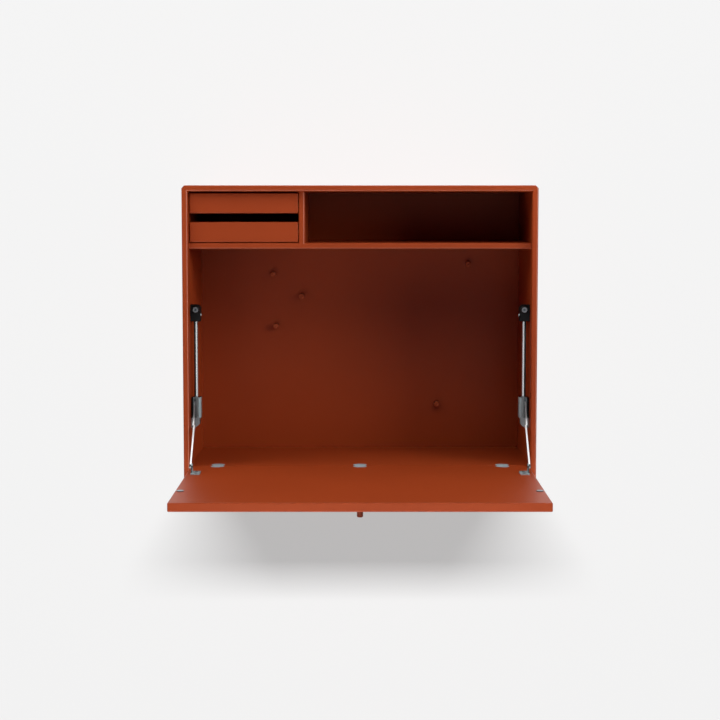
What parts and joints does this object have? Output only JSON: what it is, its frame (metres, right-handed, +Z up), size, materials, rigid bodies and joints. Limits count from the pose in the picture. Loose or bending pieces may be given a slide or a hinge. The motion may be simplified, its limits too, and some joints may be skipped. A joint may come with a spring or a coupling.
{
  "type": "fold-down wall desk",
  "caption": "Wall-hung cabinet desk whose front flap folds down on flush hinges and sliding stays to make a worktop, with small drawers and an open shelf above.",
  "frame": {"origin": "on the wall, in the middle of the line of wall screws", "axes": "+Z up, +Y into the wall, so the desk's front faces -Y; +X to the right as seen from the front"},
  "size_m": [0.696, 0.7169, 0.584],
  "materials": {
    "lacquer": "fine-grained matt lacquer over fibreboard",
    "lacquer_back": "matt lacquer over thin fibreboard",
    "lacquer_inside": "matt lacquer over thin board",
    "hardwood": "planed beech",
    "zinc_steel": "zinc-plated sheet steel",
    "screw_steel": "zinc-plated screws",
    "chrome": "polished chrome",
    "black_plastic": "moulded black nylon",
    "magnet": "nickel-plated magnet",
    "die_cast": "satin die-cast zinc",
    "bright_steel": "bright zinc-plated steel",
    "nickel_casting": "satin nickel-plated casting"
  },
  "bodies": {
    "cabinet": {"side_panel_left": "lacquer", "side_panel_right": "lacquer", "top_panel": "lacquer", "bottom_panel": "lacquer", "fixed_worktop": "lacquer", "back_panel": "lacquer_back", "shelf": "lacquer", "divider": "lacquer", "back_pegs": "lacquer", "wall_rail": "zinc_steel", "hook_rail": "zinc_steel", "hinge_pins": "bright_steel", "worktop_hinge_cup_left": "nickel_casting", "worktop_hinge_cup_middle": "nickel_casting", "worktop_hinge_cup_right": "nickel_casting", "stay_rod_left": "chrome", "stay_foot_left": "die_cast", "stay_housing_left": "black_plastic", "stay_magnet_left": "magnet", "stay_rod_right": "chrome", "stay_foot_right": "die_cast", "stay_housing_right": "black_plastic", "stay_magnet_right": "magnet", "upper_runner_left": "hardwood", "upper_runner_right": "hardwood", "lower_runner_left": "hardwood", "lower_runner_right": "hardwood"},
    "flap": {"flap_hinge_cup_left": "nickel_casting", "flap_hinge_cup_middle": "nickel_casting", "flap_hinge_cup_right": "nickel_casting", "flap_panel": "lacquer", "flap_bracket_pins": "bright_steel", "knob": "lacquer", "knob_stud": "bright_steel", "flap_bracket_left": "bright_steel", "strike_plate_left": "bright_steel", "flap_bracket_right": "bright_steel", "strike_plate_right": "bright_steel"},
    "slider_left": {"stay_slider_left": "die_cast", "slider_pad_left": "black_plastic", "slider_rivet_left": "bright_steel"},
    "slider_right": {"stay_slider_right": "die_cast", "slider_pad_right": "black_plastic", "slider_rivet_right": "bright_steel"},
    "arm_left": {"stay_arm_left": "bright_steel"},
    "arm_right": {"stay_arm_right": "bright_steel"},
    "upper_drawer": {"upper_drawer_front": "lacquer", "upper_drawer_side_left": "lacquer", "upper_drawer_side_right": "lacquer", "upper_drawer_back": "lacquer", "upper_drawer_bottom": "lacquer_inside"},
    "lower_drawer": {"lower_drawer_front": "lacquer", "lower_drawer_side_left": "lacquer", "lower_drawer_side_right": "lacquer", "lower_drawer_back": "lacquer", "lower_drawer_bottom": "lacquer_inside"}
  },
  "joints": [
    {"name": "flap_hinge", "type": "hinge", "parent": "cabinet", "child": "flap", "pos_m": [0, -0.2825, -0.4945], "axis": [-1, 0, 0], "range_deg": [0, 90]},
    {"name": "upper_drawer_slide", "type": "slide", "parent": "cabinet", "child": "upper_drawer", "axis": [0, -1, 0], "range_m": [0, 0.2]},
    {"name": "lower_drawer_slide", "type": "slide", "parent": "cabinet", "child": "lower_drawer", "axis": [0, -1, 0], "range_m": [0, 0.2]},
    {"name": "slider_left_slide", "type": "slide", "parent": "cabinet", "child": "slider_left", "axis": [0, 0, 1], "range_m": [0, 0.13158]},
    {"name": "arm_left_pivot", "type": "hinge", "parent": "flap", "child": "arm_left", "pos_m": [-0.3268, -0.3775, -0.4814], "axis": [1, 0, 0], "range_deg": [0, 133.64]},
    {"name": "slider_right_slide", "type": "slide", "parent": "cabinet", "child": "slider_right", "axis": [0, 0, 1], "range_m": [0, 0.13158]},
    {"name": "arm_right_pivot", "type": "hinge", "parent": "flap", "child": "arm_right", "pos_m": [0.3268, -0.3775, -0.4814], "axis": [1, 0, 0], "range_deg": [0, 133.64]}
  ],
  "couplings": [
    {"joint": "slider_left_slide", "follows": "flap_hinge", "m_per_rad": 0.083762},
    {"joint": "arm_left_pivot", "follows": "flap_hinge", "ratio": 1.4848},
    {"joint": "slider_right_slide", "follows": "flap_hinge", "m_per_rad": 0.083762},
    {"joint": "arm_right_pivot", "follows": "flap_hinge", "ratio": 1.4848}
  ]
}
